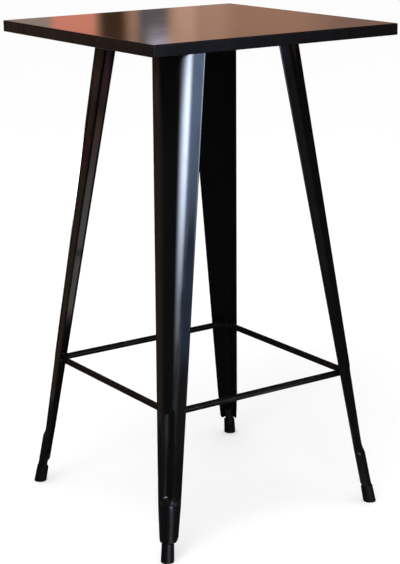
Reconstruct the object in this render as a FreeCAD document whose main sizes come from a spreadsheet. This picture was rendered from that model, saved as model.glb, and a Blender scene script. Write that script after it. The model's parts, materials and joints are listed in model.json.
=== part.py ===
import FreeCAD, Part
import os

import Sketcher
from FreeCAD import Placement, Rotation, Vector

# A square bar-height table of painted sheet steel: a folded top, four pressed legs and a foot rail.
# Millimetres, +Z up. The origin is on the floor under the middle of the top, whose sides lie along X and Y.

SIZES = {
    # Top
    "tableHeight": 1062,  # floor to the upper face
    "topSide": 600,
    "topSheet": 1.2,
    "skirtDepth": 24,
    "foldRadius": 2,  # outside of the folds and of the welded corners
    "lipWidth": 10,  # lip turned in at the skirt's lower edge
    # Channels under the top
    "channelWidth": 32,
    "channelDepth": 15,
    "channelSheet": 1.5,
    "channelInset": 30,  # leg's outer flat at the head to the channel's middle
    "channelEndGap": 1,  # long channel's end to the inside of the skirt
    # Leg heads and their bolts
    "plateThickness": 4,
    "plateToe": 24,  # width of the plate's inner end
    "boltSetback": 30,  # crossing of the channels' middles to the bolt
    "headBoltSize": 8,
    "headBoltAcross": 13,
    "headBoltHead": 5.3,
    "headBoltGap": 0.5,  # added to the bolt's diameter for its holes
    "headBoltProud": 1,  # thread past the nut
    "washerAcross": 16,
    "washerThickness": 1.6,
    "nutHeight": 6.5,
    # Legs: reach is from the table's middle plane to the outer flat, kick is along the diagonal
    "legSheet": 1.5,
    "hemWidth": 4,
    "headReach": 168,
    "headBend": 57.5,
    "headFlat": 22,
    "kneeHeight": 124,
    "kneeSpread": 97,  # how much further out the flats stand at the knee
    "kneeBend": 20.8,
    "kneeFlat": 14.3,
    "ankleHeight": 114,
    "ankleKick": 4.7,  # knee to ankle, at the outermost line of the bend
    "ankleBend": 20.4,
    "ankleFlat": 13.7,
    "ankleAngle": 37,  # flat to the diagonal
    "rimHeight": 40,
    "rimKick": 15,  # ankle to rim
    "rimBend": 18.8,
    "rimFlat": 7.2,
    "rimAngle": 15,
    "rimCorner": 11,  # rounding of the flange's lower corner
    # Flute pressed into the lower bend
    "fluteRadius": 17.5,
    "fluteDepth": 6.5,
    "fluteTop": 303,
    "fluteBottom": 137,
    # Foot rail and its fixings
    "railHeight": 302,
    "railBar": 14,
    "elbowRadius": 16,
    "spacerLength": 8.7,
    "spacerAcross": 12,
    "railBoltSize": 6,
    "railBoltAcross": 10.5,
    "railBoltHead": 3.3,
    "railBoltGap": 0.4,
    "railBoltSocket": 4,
    "railBoltLand": 6,  # flat round the socket
    "railBoltDome": 6.3,  # radius of the head's side
    "railBoltShort": 1,  # bolt's tip to the leg's sheet
    # Feet
    "stubAcross": 19,
    "stubWall": 1.5,
    "stubSeatGap": 0.2,
    "stubRise": 30,  # above the rim
    "capTopAcross": 26,
    "capBottomAcross": 28,
    "capFloor": 8,
    "capEase": 1.2,
    "capRimGap": 0.4,
}

doc = FreeCAD.newDocument("pub_table")
dims = doc.addObject("Spreadsheet::Sheet", "dims")
for row, (alias, size) in enumerate(SIZES.items(), start=1):
    dims.set(f"A{row}", str(size))
    dims.setAlias(f"A{row}", alias)
doc.recompute()

# Heights and lines worked out from the driving sizes, as expression text
SKIRT_FOOT = "(dims.tableHeight - dims.skirtDepth)"
UNDERSIDE = "(dims.tableHeight - dims.topSheet)"
PLATE_TOP = f"({UNDERSIDE} - dims.channelDepth)"
HEAD_HEIGHT = f"({PLATE_TOP} - dims.plateThickness)"
CHANNEL_LINE = "(dims.headReach - dims.channelInset)"
BOLT_LINE = f"({CHANNEL_LINE} - dims.boltSetback)"

# Outermost line of the leg's bend, measured along the diagonal
HEAD_APEX = "(sqrt(2) * dims.headReach - (sqrt(2) - 1) * dims.headBend)"
KNEE_APEX = "(sqrt(2) * (dims.headReach + dims.kneeSpread) - (sqrt(2) - 1) * dims.kneeBend)"
ANKLE_APEX = f"({KNEE_APEX} + dims.ankleKick)"
RIM_APEX = f"({ANKLE_APEX} + dims.rimKick)"

STATIONS = [
    {"name": "head", "height": HEAD_HEIGHT, "apex": HEAD_APEX, "angle": "45 deg"},
    {"name": "knee", "height": "dims.kneeHeight", "apex": KNEE_APEX, "angle": "45 deg"},
    {"name": "ankle", "height": "dims.ankleHeight", "apex": ANKLE_APEX, "angle": "dims.ankleAngle * 1 deg"},
    {"name": "rim", "height": "dims.rimHeight", "apex": RIM_APEX, "angle": "dims.rimAngle * 1 deg"},
]


def down_the_leg(head, knee, height):
    """A leg's size at a height between head and knee, where it changes evenly."""
    return f"({head} + ({knee} - {head}) * ({HEAD_HEIGHT} - {height}) / ({HEAD_HEIGHT} - dims.kneeHeight))"


# The leg at the foot rail's height, and the lines of the bar and of its bolts
RAIL_REACH = down_the_leg("dims.headReach", "(dims.headReach + dims.kneeSpread)", "dims.railHeight")
RAIL_BEND = down_the_leg("dims.headBend", "dims.kneeBend", "dims.railHeight")
RAIL_FLAT = down_the_leg("dims.headFlat", "dims.kneeFlat", "dims.railHeight")
BAR_LINE = f"({RAIL_REACH} - dims.legSheet - dims.spacerLength - dims.railBar / 2)"
RAIL_BOLT_LINE = f"({RAIL_REACH} - {RAIL_BEND} - ({RAIL_FLAT} - dims.hemWidth) / 2)"

# The foot's axis lies along the inside of the ankle
FOOT_TILT = "atan(dims.rimKick / (dims.ankleHeight - dims.rimHeight))"
FOOT_REACH = f"({RIM_APEX} - dims.legSheet - (dims.stubAcross / 2 + dims.stubSeatGap) / cos({FOOT_TILT}))"
FLOOR_DROP = f"(dims.rimHeight / cos({FOOT_TILT}))"
STUB_DROP = f"({FLOOR_DROP} - dims.capFloor)"
CAP_DROP = f"(dims.capTopAcross / 2 * tan({FOOT_TILT}) + dims.capRimGap)"

CORNERS = ("back_right", "back_left", "front_left", "front_right")
ACROSS_Y = Vector(0, 1, 0)
UPRIGHT = Vector(0, 0, 1)

nodes = []


def value(expression):
    return float(dims.evalExpression(expression))


def node(item, label):
    item.Label = label
    nodes.append(item)
    return item


def bind(item, **expressions):
    for name, expression in expressions.items():
        item.setExpression(name, expression)


def place(item, x="0", y="0", z="0", rotation=None):
    """Sets an item's placement, with its position bound to the sheet."""
    if rotation:
        item.Placement = Placement(Vector(), rotation)
    for axis, expression in zip("xyz", (x, y, z)):
        if expression != "0":
            item.setExpression(f".Placement.Base.{axis}", expression)


def new_body(name):
    return doc.addObject("PartDesign::Body", name)


def new_sketch(body, name, role, offset="0"):
    sketch = body.newObject("Sketcher::SketchObject", name)
    plane = [feature for feature in body.Origin.OriginFeatures if feature.Role == role][0]
    sketch.AttachmentSupport = [(plane, "")]
    sketch.MapMode = "FlatFace"
    if offset != "0":
        sketch.setExpression("AttachmentOffset.Base.z", offset)
    return sketch


def pin_point(sketch, geometry, end, x, y):
    """Holds one point of the sketch at the place that two expressions give."""
    for kind, expression, axis in (("DistanceX", x, -2), ("DistanceY", y, -1)):
        if expression == "0":
            sketch.addConstraint(Sketcher.Constraint("PointOnObject", geometry, end, axis))
        else:
            rule = Sketcher.Constraint(kind, -1, 1, geometry, end, value(expression))
            sketch.setExpression(f"Constraints[{sketch.addConstraint(rule)}]", expression)


def draw_outline(sketch, corners):
    """Draws a closed outline anticlockwise. A corner is (x, y), or (x, y, radius) if an arc leaves it."""
    points = [Vector(value(corner[0]), value(corner[1]), 0) for corner in corners]
    for index, corner in enumerate(corners):
        start = points[index]
        end = points[(index + 1) % len(points)]
        if len(corner) == 2:
            sketch.addGeometry(Part.LineSegment(start, end), False)
            continue
        radius = value(corner[2])
        chord = end - start
        rise = (radius**2 - chord.Length**2 / 4) ** 0.5
        centre = (start + end) / 2 + Vector(-chord.y, chord.x, 0).normalize() * rise
        circle = Part.Circle(centre, UPRIGHT, radius)
        arc = Part.ArcOfCircle(circle, circle.parameter(start), circle.parameter(end))
        sketch.addGeometry(arc, False)
    for index, corner in enumerate(corners):
        following = (index + 1) % len(corners)
        sketch.addConstraint(Sketcher.Constraint("Coincident", index, 2, following, 1))
        pin_point(sketch, index, 1, corner[0], corner[1])
        if len(corner) == 3:
            rule = Sketcher.Constraint("Radius", index, value(corner[2]))
            sketch.setExpression(f"Constraints[{sketch.addConstraint(rule)}]", corner[2])


def draw_circle(sketch, x, y, across):
    centre = Vector(value(x), value(y), 0)
    index = sketch.addGeometry(Part.Circle(centre, UPRIGHT, value(across) / 2), False)
    pin_point(sketch, index, 3, x, y)
    rule = Sketcher.Constraint("Diameter", index, value(across))
    sketch.setExpression(f"Constraints[{sketch.addConstraint(rule)}]", across)


def square(half):
    return [(f"-{half}", f"-{half}"), (half, f"-{half}"), (half, half), (f"-{half}", half)]


def pad(body, sketch, length):
    feature = body.newObject("PartDesign::Pad", f"{sketch.Name}_pad")
    feature.Profile = sketch
    bind(feature, Length=length)
    doc.recompute()
    return feature


def pocket_up(body, sketch, depth):
    """Cuts upwards from the sketch, and stops if nothing was cut."""
    before = body.Shape.Volume
    feature = body.newObject("PartDesign::Pocket", f"{sketch.Name}_pocket")
    feature.Profile = sketch
    feature.Reversed = True
    bind(feature, Length=depth)
    doc.recompute()
    if not feature.Shape.Volume < before:
        raise RuntimeError(f"{feature.Name} cuts nothing")
    return feature


def loft(body, sketches):
    feature = body.newObject("PartDesign::AdditiveLoft", f"{body.Name}_loft")
    feature.Profile = sketches[0]
    feature.Sections = sketches[1:]
    feature.Ruled = True
    doc.recompute()
    return feature


def revolve(body, sketch):
    """Turns a sketch on the XZ plane about Z."""
    feature = body.newObject("PartDesign::Revolution", f"{sketch.Name}_turned")
    feature.Profile = sketch
    feature.ReferenceAxis = (sketch, ["V_Axis"])
    feature.Angle = 360
    doc.recompute()
    return feature


def boolean(kind, name, base, tool):
    item = doc.addObject(f"Part::{kind}", name)
    item.Base = base
    item.Tool = tool
    return item


def cylinder(name, across, height):
    item = doc.addObject("Part::Cylinder", name)
    bind(item, Radius=f"{across} / 2", Height=height)
    return item


def hexagon(name, across, height):
    item = doc.addObject("Part::Prism", name)
    item.Polygon = 6
    bind(item, Circumradius=f"{across} / 2 / cos(30 deg)", Height=height)
    return item


def group(name, items):
    item = doc.addObject("Part::Compound", name)
    item.Links = items
    return item


def copy_to(pattern, name, **placing):
    item = group(name, [pattern])
    place(item, **placing)
    return item


def corner_turns():
    """Each corner with the turn that brings +X onto its diagonal."""
    for quarter, corner in enumerate(CORNERS):
        yield corner, Rotation(UPRIGHT, 45 + 90 * quarter)


def at_each_corner(pattern, label):
    for corner, turn in corner_turns():
        name = f"{label}_{corner}"
        node(copy_to(pattern, name, rotation=turn), name)


def leg_sizes(station):
    """The station's bend and flat, which the sheet names after the station."""
    return f"dims.{station['name']}Bend", f"dims.{station['name']}Flat"


def along_flat(station, sheet_in, from_bend):
    """A point beside the leg's flat: so far inside its outer face, and so far from the end of the bend."""
    bend, _ = leg_sizes(station)
    angle = station["angle"]
    x = f"({station['apex']} - {bend} + ({bend} - {sheet_in}) * sin({angle}) - {from_bend} * cos({angle}))"
    y = f"(({bend} - {sheet_in}) * cos({angle}) + {from_bend} * sin({angle}))"
    return x, y


def mirrored(point):
    return point[0], f"-{point[1]}"


def make_top():
    body = new_body("top_tray")
    blank = new_sketch(body, "top_blank", "XY_Plane", SKIRT_FOOT)
    draw_outline(blank, square("(dims.topSide / 2)"))
    block = pad(body, blank, "dims.skirtDepth")
    low = block.Shape.BoundBox.ZMin
    folds = [f"Edge{number}" for number, edge in enumerate(block.Shape.Edges, start=1)
             if edge.BoundBox.ZMax > low + value("dims.skirtDepth") / 2]
    fold = body.newObject("PartDesign::Fillet", "top_folds")
    fold.Base = (block, folds)
    bind(fold, Radius="dims.foldRadius")
    doc.recompute()
    mouth = new_sketch(body, "top_mouth", "XY_Plane", SKIRT_FOOT)
    draw_outline(mouth, square("(dims.topSide / 2 - dims.topSheet - dims.lipWidth)"))
    pocket_up(body, mouth, "dims.topSheet")
    hollow = new_sketch(body, "top_hollow", "XY_Plane", f"({SKIRT_FOOT} + dims.topSheet)")
    draw_outline(hollow, square("(dims.topSide / 2 - dims.topSheet)"))
    pocket_up(body, hollow, "dims.skirtDepth - 2 * dims.topSheet")
    node(body, "top_tray")


def make_channel(side, length, turn, **placing):
    """A folded channel along its own X, open upwards, with a bolt hole near each leg."""
    label = f"frame_channel_{side}"
    body = new_body(label)
    half = "(dims.channelWidth / 2)"
    inner = "(dims.channelWidth / 2 - dims.channelSheet)"
    section = new_sketch(body, f"{side}_channel", "YZ_Plane", f"-{length} / 2")
    web = f"({PLATE_TOP} + dims.channelSheet)"
    draw_outline(section, [
        (f"-{half}", PLATE_TOP), (half, PLATE_TOP), (half, UNDERSIDE), (inner, UNDERSIDE),
        (inner, web), (f"-{inner}", web), (f"-{inner}", UNDERSIDE), (f"-{half}", UNDERSIDE),
    ])
    pad(body, section, length)
    holes = new_sketch(body, f"{side}_channel_holes", "XY_Plane", PLATE_TOP)
    for x in (f"-{BOLT_LINE}", BOLT_LINE):
        draw_circle(holes, x, "0", "dims.headBoltSize + dims.headBoltGap")
    pocket_up(body, holes, "dims.channelSheet")
    place(body, rotation=Rotation(UPRIGHT, turn), **placing)
    node(body, label)


def make_channels():
    long = "(dims.topSide - 2 * (dims.topSheet + dims.channelEndGap))"
    short = f"(2 * {CHANNEL_LINE} - dims.channelWidth)"
    make_channel("front", long, 0, y=f"-{CHANNEL_LINE}")
    make_channel("back", long, 0, y=CHANNEL_LINE)
    make_channel("left", short, 90, x=f"-{CHANNEL_LINE}")
    make_channel("right", short, 90, x=CHANNEL_LINE)


def make_head_plates():
    """A plate with the leg's own outline at the head, carried inwards to reach the bolts."""
    head = STATIONS[0]
    bend, flat = leg_sizes(head)
    tangent = along_flat(head, "0", "0")
    edge = along_flat(head, "0", flat)
    toe = (f"({edge[0]} - {edge[1]} + dims.plateToe / 2)", "(dims.plateToe / 2)")
    body = new_body("head_plate_pattern")
    outline = new_sketch(body, "plate_outline", "XY_Plane", HEAD_HEIGHT)
    draw_outline(outline, [
        mirrored(toe), mirrored(edge), (*mirrored(tangent), bend), tangent, edge, toe,
    ])
    pad(body, outline, "dims.plateThickness")
    holes = new_sketch(body, "plate_holes", "XY_Plane", HEAD_HEIGHT)
    hole = (f"(({CHANNEL_LINE} + {BOLT_LINE}) / sqrt(2))", "(dims.boltSetback / sqrt(2))")
    for x, y in (hole, mirrored(hole)):
        draw_circle(holes, x, y, "dims.headBoltSize + dims.headBoltGap")
    pocket_up(body, holes, "dims.plateThickness")
    at_each_corner(body, "leg_head_plate")


def make_press_form():
    """The leg's outside, filled in as far as the hemmed flange edges."""
    body = new_body("leg_press_form")
    sketches = []
    for station in STATIONS:
        bend, flat = leg_sizes(station)
        tangent = along_flat(station, "0", "0")
        edge = along_flat(station, "0", flat)
        hem = along_flat(station, "2 * dims.legSheet", flat)
        sketch = new_sketch(body, f"{station['name']}_outside", "XY_Plane", station["height"])
        draw_outline(sketch, [
            mirrored(edge), (*mirrored(tangent), bend), tangent, edge, hem, mirrored(hem),
        ])
        sketches.append(sketch)
    filled = loft(body, sketches)
    round_flange_corners(body, filled)
    return body


def round_flange_corners(body, filled):
    """Rounds the lower corner of each flange, at the short edge where its end meets the rim."""
    rim = STATIONS[-1]
    _, flat = leg_sizes(rim)
    edge = along_flat(rim, "dims.legSheet", flat)
    height = value(rim["height"])
    middles = [Vector(value(x), value(y), height) for x, y in (edge, mirrored(edge))]
    reach = value("dims.legSheet") / 2
    corners = [f"Edge{number}" for number, item in enumerate(filled.Shape.Edges, start=1)
               if any((item.CenterOfMass - middle).Length < reach for middle in middles)]
    rounding = body.newObject("PartDesign::Fillet", "flange_corners")
    rounding.Base = (filled, corners)
    bind(rounding, Radius="dims.rimCorner")
    doc.recompute()


def make_core():
    """The space inside the leg's sheet, with a step for the hem, open towards the table's middle."""
    body = new_body("leg_core")
    overrun = "(dims.spacerLength + dims.railBar)"
    sketches = []
    for station in STATIONS:
        bend, flat = leg_sizes(station)
        tangent = along_flat(station, "dims.legSheet", "0")
        step = along_flat(station, "dims.legSheet", f"({flat} - dims.hemWidth)")
        hem = along_flat(station, "2 * dims.legSheet", f"({flat} - dims.hemWidth)")
        mouth = along_flat(station, "2 * dims.legSheet", f"({flat} + {overrun})")
        sketch = new_sketch(body, f"{station['name']}_inside", "XY_Plane", station["height"])
        draw_outline(sketch, [
            mirrored(mouth), mirrored(hem), mirrored(step),
            (*mirrored(tangent), f"({bend} - dims.legSheet)"), tangent, step, hem, mouth,
        ])
        sketches.append(sketch)
    loft(body, sketches)
    return body


def make_flute(name, radius):
    """A round-ended bar that lies along the bend. Its near side is the flute's floor."""
    top, bottom = [
        f"({down_the_leg(HEAD_APEX, KNEE_APEX, height)} + dims.fluteRadius - dims.fluteDepth)"
        for height in ("dims.fluteTop", "dims.fluteBottom")
    ]
    rise = "(dims.fluteTop - dims.fluteBottom)"
    length = f"sqrt(({top} - {bottom}) ^ 2 + {rise} ^ 2)"
    body = new_body(name)
    profile = new_sketch(body, f"{name}_profile", "XZ_Plane")
    draw_outline(profile, [
        ("0", f"-{radius}", radius), (radius, "0"),
        (radius, length, radius), ("0", f"({length} + {radius})"),
    ])
    revolve(body, profile)
    place(body, x=bottom, z="dims.fluteBottom", rotation=Rotation(ACROSS_Y, 1))
    body.setExpression(".Placement.Rotation.Angle", f"atan(({top} - {bottom}) / {rise})")
    return body


def make_legs(core):
    pressed = boolean("Cut", "leg_pressed", make_press_form(), make_flute("flute", "dims.fluteRadius"))
    flute_back = make_flute("flute_back", "(dims.fluteRadius + dims.legSheet)")
    fluted_core = boolean("Cut", "leg_fluted_core", core, flute_back)
    at_each_corner(boolean("Cut", "leg_pattern", pressed, fluted_core), "leg")


def make_head_bolts():
    """Bolts from below, with washers, into nuts welded inside the channels."""
    clamped = "dims.washerThickness + dims.plateThickness + dims.channelSheet"
    length = f"({clamped} + dims.nutHeight + dims.headBoltProud)"
    shank = cylinder("head_bolt_shank", "dims.headBoltSize", length)
    head = hexagon("head_bolt_head", "dims.headBoltAcross", "dims.headBoltHead")
    place(head, z="-dims.headBoltHead")
    bolt = boolean("Fuse", "head_bolt_pattern", head, shank)
    washer = boolean(
        "Cut", "washer_pattern", cylinder("washer_disc", "dims.washerAcross", "dims.washerThickness"),
        cylinder("washer_hole", "(dims.headBoltSize + dims.headBoltGap)", "dims.washerThickness"))
    nut = boolean(
        "Cut", "nut_pattern", hexagon("nut_block", "dims.headBoltAcross", "dims.nutHeight"),
        cylinder("nut_thread", "dims.headBoltSize", "dims.nutHeight"))
    washer_foot = f"({HEAD_HEIGHT} - dims.washerThickness)"
    nut_foot = f"({PLATE_TOP} + dims.channelSheet)"
    for label, pattern, z in (("head_bolts", bolt, washer_foot), ("head_washers", washer, washer_foot),
                              ("weld_nuts", nut, nut_foot)):
        copies = []
        for x_side in ("", "-"):
            for y_side in ("", "-"):
                for x, y in ((CHANNEL_LINE, BOLT_LINE), (BOLT_LINE, CHANNEL_LINE)):
                    name = f"{label}_{len(copies) + 1}"
                    copies.append(copy_to(pattern, name, x=x_side + x, y=y_side + y, z=z))
        node(group(label, copies), label)


def make_rail_ring():
    """A round bar bent into a square ring and closed with a weld in the middle of one side."""
    body = new_body("rail_ring")
    side = BAR_LINE
    start = f"({BAR_LINE} - dims.elbowRadius)"
    bend = "dims.elbowRadius"
    path = new_sketch(body, "rail_path", "XY_Plane", "dims.railHeight")
    draw_outline(path, [
        (side, "0"), (side, start, bend), (start, side), (f"-{start}", side, bend),
        (f"-{side}", start), (f"-{side}", f"-{start}", bend), (f"-{start}", f"-{side}"),
        (start, f"-{side}", bend), (side, f"-{start}"),
    ])
    profile = new_sketch(body, "rail_profile", "XZ_Plane")
    draw_circle(profile, side, "dims.railHeight", "dims.railBar")
    doc.recompute()
    pipe = body.newObject("PartDesign::AdditivePipe", "rail_pipe")
    pipe.Profile = profile
    pipe.Spine = (path, [f"Edge{number}" for number in range(1, len(path.Shape.Edges) + 1)])
    doc.recompute()
    return body


def rail_fixings():
    """Place and outward direction of each bolt through the bar, two at each elbow."""
    for x_side in ("", "-"):
        for y_side in ("", "-"):
            yield x_side + BAR_LINE, y_side + RAIL_BOLT_LINE, Vector(-1 if x_side else 1, 0, 0)
            yield x_side + RAIL_BOLT_LINE, y_side + BAR_LINE, Vector(0, -1 if y_side else 1, 0)


def make_rail_bolt():
    """A button-headed bolt along +Z, with its middle on the bar's line."""
    body = new_body("rail_bolt_turned")
    seat = "(dims.railBar / 2)"
    tip = "(dims.railBar / 2 + dims.spacerLength - dims.railBoltShort)"
    crown = f"({seat} + dims.railBoltHead)"
    profile = new_sketch(body, "rail_bolt_profile", "XZ_Plane")
    draw_outline(profile, [
        ("0", f"-{crown}"), ("(dims.railBoltLand / 2)", f"-{crown}", "dims.railBoltDome"),
        ("(dims.railBoltAcross / 2)", f"-{seat}"), ("(dims.railBoltSize / 2)", f"-{seat}"),
        ("(dims.railBoltSize / 2)", tip), ("0", tip),
    ])
    revolve(body, profile)
    socket = hexagon("rail_bolt_socket", "dims.railBoltSocket", "(dims.railBoltHead / 2)")
    place(socket, z=f"-{crown}")
    return boolean("Cut", "rail_bolt_pattern", body, socket)


def make_foot_rail(core):
    ring = make_rail_ring()
    bolt = make_rail_bolt()
    drill = cylinder("rail_drill", "(dims.railBoltSize + dims.railBoltGap)", "(2 * dims.railBar)")
    place(drill, z="-dims.railBar")
    drills = []
    bolts = []
    for index, (x, y, outward) in enumerate(rail_fixings(), start=1):
        placing = {"x": x, "y": y, "z": "dims.railHeight", "rotation": Rotation(UPRIGHT, outward)}
        drills.append(copy_to(drill, f"rail_drill_{index}", **placing))
        bolts.append(copy_to(bolt, f"rail_bolt_{index}", **placing))
    node(boolean("Cut", "foot_rail", ring, group("rail_drills", drills)), "foot_rail")
    node(group("rail_bolts", bolts), "rail_bolts")
    make_rail_spacers(ring, core)


def make_rail_spacers(ring, core):
    """Tapped spacers welded inside the legs' flats, with a saddle for the bar."""
    x = f"(({RAIL_BOLT_LINE} + {BAR_LINE}) / sqrt(2))"
    y = f"(({BAR_LINE} - {RAIL_BOLT_LINE}) / sqrt(2))"
    length = "(dims.railBar / 2 + dims.spacerLength + dims.spacerAcross)"
    corner_ring = copy_to(ring, "ring_from_corner", rotation=Rotation(UPRIGHT, 45))
    pair = []
    for side, turn in (("", 1), ("-", -1)):
        outward = Rotation(UPRIGHT, Vector(1, turn, 0))
        placing = {"x": x, "y": side + y, "z": "dims.railHeight", "rotation": outward}
        hand = len(pair) + 1
        rod = cylinder(f"spacer_rod_{hand}", "dims.spacerAcross", length)
        thread = cylinder(f"spacer_thread_{hand}", "dims.railBoltSize", length)
        place(rod, **placing)
        place(thread, **placing)
        trimmed = boolean("Common", f"spacer_trimmed_{hand}", rod, core)
        saddled = boolean("Cut", f"spacer_saddled_{hand}", trimmed, corner_ring)
        pair.append(boolean("Cut", f"spacer_{hand}", saddled, thread))
    spacers = group("spacer_pair", pair)
    copies = [copy_to(spacers, f"spacers_{corner}", rotation=turn) for corner, turn in corner_turns()]
    node(group("rail_spacers", copies), "rail_spacers")


def lean_with_foot(item):
    """Sets an item that was made along Z on the foot's axis, with its zero at the rim's height."""
    place(item, x=FOOT_REACH, z="dims.rimHeight", rotation=Rotation(ACROSS_Y, 1))
    item.setExpression(".Placement.Rotation.Angle", f"-{FOOT_TILT}")


def make_foot_stubs():
    length = f"({STUB_DROP} + dims.stubRise)"
    tube = cylinder("stub_outside", "dims.stubAcross", length)
    bore = cylinder("stub_inside", "(dims.stubAcross - 2 * dims.stubWall)", length)
    for item in (tube, bore):
        place(item, z=f"-{STUB_DROP}")
    pattern = copy_to(boolean("Cut", "stub_tube", tube, bore), "stub_pattern")
    lean_with_foot(pattern)
    at_each_corner(pattern, "foot_stub")


def make_foot_caps():
    """A flared cap pushed onto the stub, flat where it stands on the floor."""
    body = new_body("cap_turned")
    top = "(dims.capTopAcross / 2)"
    bottom = "(dims.capBottomAcross / 2)"
    bore = "(dims.stubAcross / 2)"
    below = f"({FLOOR_DROP} + {bottom} * tan({FOOT_TILT}))"
    profile = new_sketch(body, "cap_profile", "XZ_Plane")
    draw_outline(profile, [
        ("0", f"-{below}"), (bottom, f"-{below}"), (top, f"-({CAP_DROP} + dims.capEase)"),
        (f"({top} - dims.capEase)", f"-{CAP_DROP}"), (bore, f"-{CAP_DROP}"), (bore, f"-{STUB_DROP}"),
        ("0", f"-{STUB_DROP}"),
    ])
    revolve(body, profile)
    lean_with_foot(body)
    floor = doc.addObject("Part::Box", "floor_block")
    across = "dims.capBottomAcross"
    bind(floor, Length=f"2 * {across}", Width=f"2 * {across}", Height=across)
    place(floor, x=f"({FOOT_REACH} - {across})", y=f"-{across}", z=f"-{across}")
    at_each_corner(boolean("Cut", "cap_pattern", body, floor), "foot_cap")


def check_model():
    doc.recompute()
    for item in doc.Objects:
        if "Invalid" in item.State or "Error" in item.State:
            raise RuntimeError(f"{item.Name} failed: {item.State}")
    for item in nodes:
        if item.Shape.isNull() or not item.Shape.isValid() or not item.Shape.Solids:
            raise RuntimeError(f"{item.Label} has no valid shape")


def write_parts():
    os.makedirs("parts", exist_ok=True)
    for item in nodes:
        item.Shape.exportStep(os.path.join("parts", f"{item.Label}.step"))
        print(f"{item.Label}: {len(item.Shape.Solids)} solid(s), {item.Shape.Volume / 1000:.2f} cm3")


make_top()
make_channels()
make_head_plates()
leg_core = make_core()
make_legs(leg_core)
make_head_bolts()
make_foot_rail(leg_core)
make_foot_stubs()
make_foot_caps()
check_model()
write_parts()
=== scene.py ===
import json
import math

import bmesh
import bpy
import numpy as np
from mathutils import Euler, Matrix, Vector


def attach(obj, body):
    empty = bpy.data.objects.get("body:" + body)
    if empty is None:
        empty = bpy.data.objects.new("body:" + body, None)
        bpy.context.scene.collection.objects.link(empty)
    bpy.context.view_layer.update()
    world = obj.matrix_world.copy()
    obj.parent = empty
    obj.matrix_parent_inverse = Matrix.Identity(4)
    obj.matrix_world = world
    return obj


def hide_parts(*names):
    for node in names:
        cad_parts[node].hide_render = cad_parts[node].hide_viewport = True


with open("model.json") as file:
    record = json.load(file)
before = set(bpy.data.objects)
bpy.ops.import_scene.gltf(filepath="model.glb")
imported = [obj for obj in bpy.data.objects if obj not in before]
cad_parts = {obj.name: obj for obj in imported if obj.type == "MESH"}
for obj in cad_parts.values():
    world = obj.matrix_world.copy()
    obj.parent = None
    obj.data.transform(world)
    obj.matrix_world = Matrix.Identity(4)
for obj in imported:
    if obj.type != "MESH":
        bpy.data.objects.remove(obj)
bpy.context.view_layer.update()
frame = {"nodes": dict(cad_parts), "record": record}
scene = bpy.context.scene
scene.view_settings.view_transform = "Standard"
mm = 0.001
cornerTurns = {"back_right": 45, "back_left": 135, "front_left": 225, "front_right": 315}
print("frame loaded:", len(frame["nodes"]), "nodes")


class Wire:
    # an output socket that can take part in sums

    def __init__(self, bench, socket):
        self.bench = bench
        self.socket = socket

    def work(self, operation, first, second):
        return self.bench.add("ShaderNodeMath", {"operation": operation}, {0: first, 1: second})

    def __add__(self, other):
        return self.work("ADD", self, other)

    def __radd__(self, other):
        return self.work("ADD", other, self)

    def __rsub__(self, other):
        return self.work("SUBTRACT", other, self)

    def __mul__(self, other):
        return self.work("MULTIPLY", self, other)


class Bench:
    # a node tree being put together, for a finish or for a repeated piece

    def __init__(self, tree):
        self.tree = tree

    def add(self, kind, settings=None, inputs=None, output=0):
        node = self.tree.nodes.new(kind)
        for name, setting in (settings or {}).items():
            setattr(node, name, setting)
        for name, value in (inputs or {}).items():
            if isinstance(value, Wire):
                self.tree.links.new(value.socket, node.inputs[name])
            else:
                node.inputs[name].default_value = value
        return Wire(self, node.outputs[output]) if node.outputs else node


# helpers for the finishes

def newFinish(name):
    material = bpy.data.materials.new(name)
    material.use_nodes = True
    material.node_tree.nodes.clear()
    return material, Bench(material.node_tree)


def grain(bench, size, detail=2.0, stretch=(1, 1, 1), turn=(0, 0, 0)):
    place = bench.add("ShaderNodeTexCoord", output="Object")
    turned = bench.add("ShaderNodeMapping", None, {"Vector": place, "Rotation": turn, "Scale": stretch})
    return bench.add("ShaderNodeTexNoise", None, {"Vector": turned, "Scale": 1 / size, "Detail": detail})


def between(bench, value, low, high):
    return bench.add("ShaderNodeMapRange", {"interpolation_type": "SMOOTHSTEP"},
                     {"Value": value, "From Min": low, "From Max": high})


def blendColour(bench, share, first, second):
    return bench.add("ShaderNodeMix", {"data_type": "RGBA"}, {0: share, 6: first, 7: second}, 2)


def mark(bench, name):
    return bench.add("ShaderNodeAttribute", {"attribute_name": name}, None, "Fac")


def facingUp(bench):
    normal = bench.add("ShaderNodeNewGeometry", None, None, "Normal")
    return bench.add("ShaderNodeSeparateXYZ", None, {0: normal}, 2)


def heightAbove(bench):
    place = bench.add("ShaderNodeTexCoord", output="Object")
    return bench.add("ShaderNodeSeparateXYZ", None, {0: place}, 2)


def closeFinish(bench, material, sockets):
    shader = bench.add("ShaderNodeBsdfPrincipled", None, sockets)
    bench.add("ShaderNodeOutputMaterial", None, {"Surface": shader})
    return material


# the paints: gloss over pressed sheet, with orange peel, wiping marks and worn edges

# the top face's brown base and shade are a painted reflection of a warm room in black gloss paint
topPaintBrownReflection = {
    "base": (0.020, 0.012, 0.009, 1), "shade": (0.015, 0.009, 0.0068, 1),
    "worn": (0.08, 0.065, 0.055, 1), "wear": 0.3,
    "gloss": 0.07, "dull": 0.1, "specular": 0.42,
    "peelSize": 0.0035, "peelDepth": 0.000004, "swellSize": 0.16, "swellDepth": 0.0001,
    "cloudSize": 0.11, "wipeSize": 0.06, "scratchSize": 0.0022, "crossSize": 0.0026, "chipSize": 0.006,
}
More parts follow.
